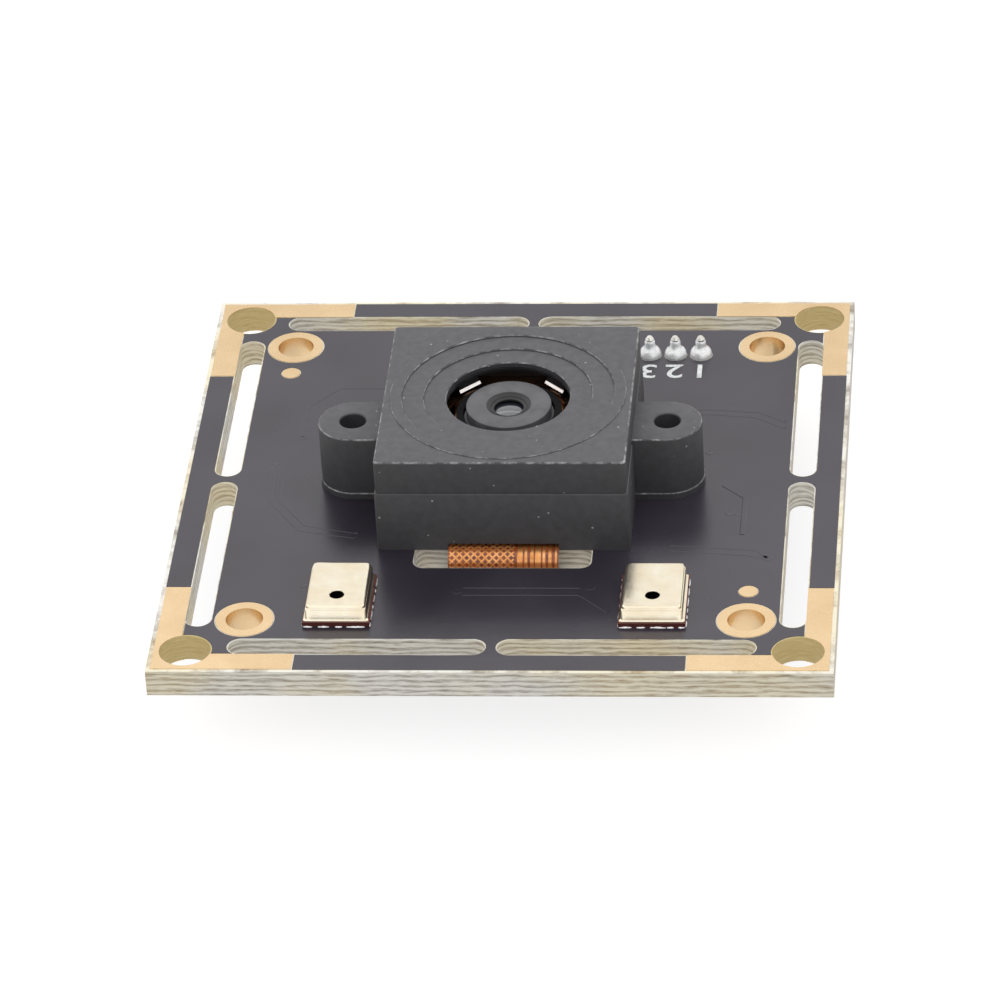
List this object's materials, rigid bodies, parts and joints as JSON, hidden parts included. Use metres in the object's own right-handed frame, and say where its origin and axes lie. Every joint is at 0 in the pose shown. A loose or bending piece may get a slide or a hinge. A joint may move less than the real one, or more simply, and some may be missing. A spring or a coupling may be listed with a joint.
{
  "type": "camera module",
  "caption": "Square black circuit board carrying an autofocus lens in a black housing, microphones, fixing holes and an underside cable header.",
  "frame": {"origin": "centre of the outer fixing holes, on the board's underside", "axes": "+Z out of the lens, square to the board; +X to the right and +Y away from the microphones, along the board's sides"},
  "size_m": [0.038, 0.038, 0.0119],
  "materials": {
    "board": "glass-fibre board with a glossy black solder mask, bare fibre at the cut edges",
    "gold_plating": "thin satin gold plating over copper",
    "housing_plastic": "fine matt black moulded plastic with brighter worn edges",
    "screw_steel": "zinc-plated steel",
    "microphone_base": "dark red glass-fibre board with cut edges",
    "microphone_can": "pale gold-plated drawn metal",
    "silicon": "polished silicon",
    "sensor_board": "green glass-fibre board",
    "sensor_chip": "iridescent silicon chip",
    "filter_glass": "thin bluish infrared filter glass",
    "motor_plastic": "black glass-filled plastic",
    "motor_steel": "nickel-plated steel sheet, blackened outside",
    "magnet": "nickel-plated magnet",
    "leaf_copper": "copper-alloy spring sheet",
    "coil_wire": "enamelled copper wire wound in layers",
    "barrel_plastic": "fine matt black plastic",
    "lens_glass": "coated clear lens plastic",
    "flex_film": "orange-brown film over copper tracks",
    "stiffener": "thin steel sheet",
    "connector_black": "black moulded plastic",
    "connector_ivory": "ivory moulded plastic",
    "pin_tin": "tin-plated brass",
    "solder": "bright solder",
    "chip_resin": "black moulding resin",
    "lead_tin": "matt tin-plated leads",
    "crystal_can": "nickel-plated can",
    "ferrite": "dark grey ferrite",
    "capacitor": "tan ceramic with tinned ends",
    "resistor": "black-coated ceramic with tinned ends"
  },
  "bodies": {
    "board_assembly": {"circuit_board": "board", "corner_lands": "gold_plating", "hole_rings": "gold_plating", "sighting_dots": "gold_plating", "lens_housing": "housing_plastic", "housing_screws": "screw_steel", "left_microphone_base": "microphone_base", "left_microphone_can": "microphone_can", "right_microphone_base": "microphone_base", "right_microphone_can": "microphone_can", "microphone_chips": "silicon", "sensor_board": "sensor_board", "image_sensor": "sensor_chip", "filter_glass": "filter_glass", "motor_base": "motor_plastic", "motor_yoke": "motor_steel", "motor_magnets": "magnet", "lower_leaf_spring": "leaf_copper", "upper_leaf_spring": "leaf_copper", "flex_cable": "flex_film", "flex_stiffener": "stiffener", "flex_plug": "connector_black", "flex_socket": "connector_ivory", "header_shell": "connector_ivory", "header_pins": "pin_tin", "solder_joints": "solder", "controller_chip": "chip_resin", "controller_leads": "lead_tin", "memory_chip": "chip_resin", "memory_leads": "lead_tin", "voltage_regulators": "chip_resin", "crystal": "crystal_can", "inductor": "ferrite", "capacitors": "capacitor", "resistors": "resistor"},
    "focus_lens": {"lens_carrier": "motor_plastic", "drive_coil": "coil_wire", "lens_barrel": "barrel_plastic", "front_lens": "lens_glass", "middle_lens": "lens_glass", "rear_lens": "lens_glass", "lens_spacer": "barrel_plastic"}
  },
  "joints": [
    {"name": "focus_slide", "type": "slide", "parent": "board_assembly", "child": "focus_lens", "axis": [0, 0, 1], "range_m": [0, 0.00025], "stiffness_N_per_m": 50, "springref_m": -0.0001, "deforming": ["lower_leaf_spring", "upper_leaf_spring"]}
  ]
}
